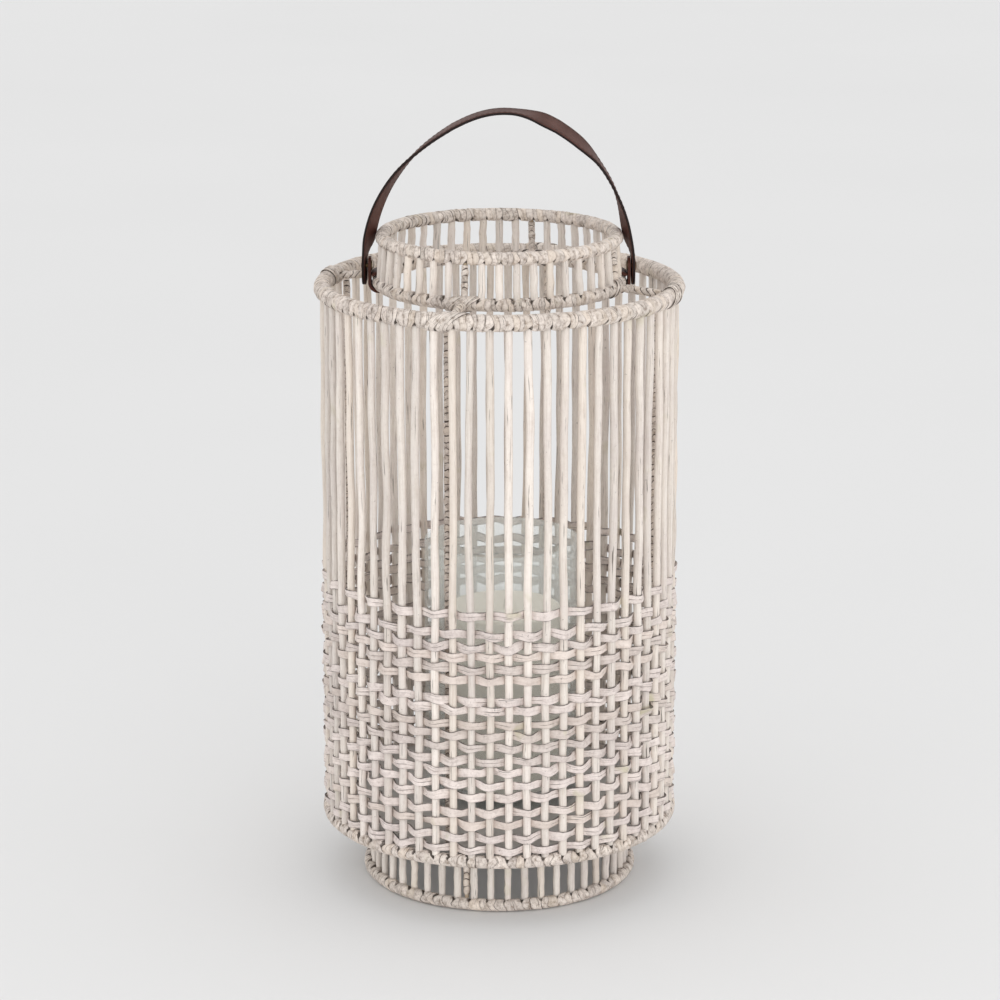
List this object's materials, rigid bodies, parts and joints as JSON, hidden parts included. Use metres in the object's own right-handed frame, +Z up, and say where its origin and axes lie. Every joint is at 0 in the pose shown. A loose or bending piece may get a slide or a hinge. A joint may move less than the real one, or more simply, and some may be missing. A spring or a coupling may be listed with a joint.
{
  "type": "hurricane candle lantern",
  "caption": "Round willow basket lantern on a short foot, with a glass chimney that holds a pillar candle and a leather strap handle.",
  "frame": {"origin": "centre of the foot's flat underside, on the surface the lantern stands on", "axes": "+Z up along the basket's axis, -Y to the front, +X to the right across the two strap rivets"},
  "size_m": [0.3, 0.3, 0.6383],
  "materials": {
    "willow_stake": "whitewashed peeled willow rod, matt",
    "cane_weave": "whitewashed flat split cane, matt, streaked along its grain",
    "cane_binding": "whitewashed split cane wound round and round, matt",
    "willow_core": "plain willow rod, hidden in its binding",
    "washed_board": "grey-washed plywood, matt",
    "nail_steel": "bright wire nail",
    "clear_glass": "clear, faint green at the thick base",
    "candle_wax": "cream wax, satin",
    "wick_cotton": "braided cotton, waxed",
    "dark_leather": "dark brown strap leather, half matt, with rubbed edges",
    "rivet_brass": "aged dark brass"
  },
  "bodies": {
    "lantern": {"base_binding": "cane_binding", "base_board": "washed_board", "base_hoop": "willow_core", "board_nails": "nail_steel", "body_stakes": "willow_stake", "collar_lower_binding": "cane_binding", "collar_lower_hoop": "willow_core", "collar_post_bindings": "cane_binding", "collar_posts": "willow_core", "collar_stakes": "willow_stake", "collar_upper_binding": "cane_binding", "collar_upper_hoop": "willow_core", "cross_tie_bindings": "cane_binding", "cross_ties": "willow_core", "foot_binding": "cane_binding", "foot_hoop": "willow_core", "foot_post_bindings": "cane_binding", "foot_posts": "willow_core", "foot_stakes": "willow_stake", "frame_post_bindings": "cane_binding", "frame_posts": "willow_core", "rim_binding": "cane_binding", "rim_hoop": "willow_core", "strap_loop_left": "dark_leather", "strap_loop_right": "dark_leather", "strap_rivet_left": "rivet_brass", "strap_rivet_right": "rivet_brass", "weave_row_01": "cane_weave", "weave_row_02": "cane_weave", "weave_row_03": "cane_weave", "weave_row_04": "cane_weave", "weave_row_05": "cane_weave", "weave_row_06": "cane_weave", "weave_row_07": "cane_weave", "weave_row_08": "cane_weave", "weave_row_09": "cane_weave", "weave_row_10": "cane_weave", "weave_row_11": "cane_weave", "weave_row_12": "cane_weave", "weave_row_13": "cane_weave", "weave_row_14": "cane_weave", "weave_row_15": "cane_weave", "weave_row_16": "cane_weave", "weave_row_17": "cane_weave", "weave_row_18": "cane_weave", "weave_row_19": "cane_weave"},
    "handle": {"handle_strap": "dark_leather"},
    "glass": {"glass_cylinder": "clear_glass"},
    "candle": {"candle": "candle_wax", "candle_wick": "wick_cotton"}
  },
  "joints": [
    {"name": "handle_swing", "type": "hinge", "parent": "lantern", "child": "handle", "pos_m": [0, 0, 0.5125], "axis": [1, 0, 0], "range_deg": [-80, 80]},
    {"name": "glass_lift", "type": "slide", "parent": "lantern", "child": "glass", "axis": [0, 0, 1], "range_m": [0, 0.31]},
    {"name": "candle_lift", "type": "slide", "parent": "glass", "child": "candle", "axis": [0, 0, 1], "range_m": [0, 0.38]}
  ]
}
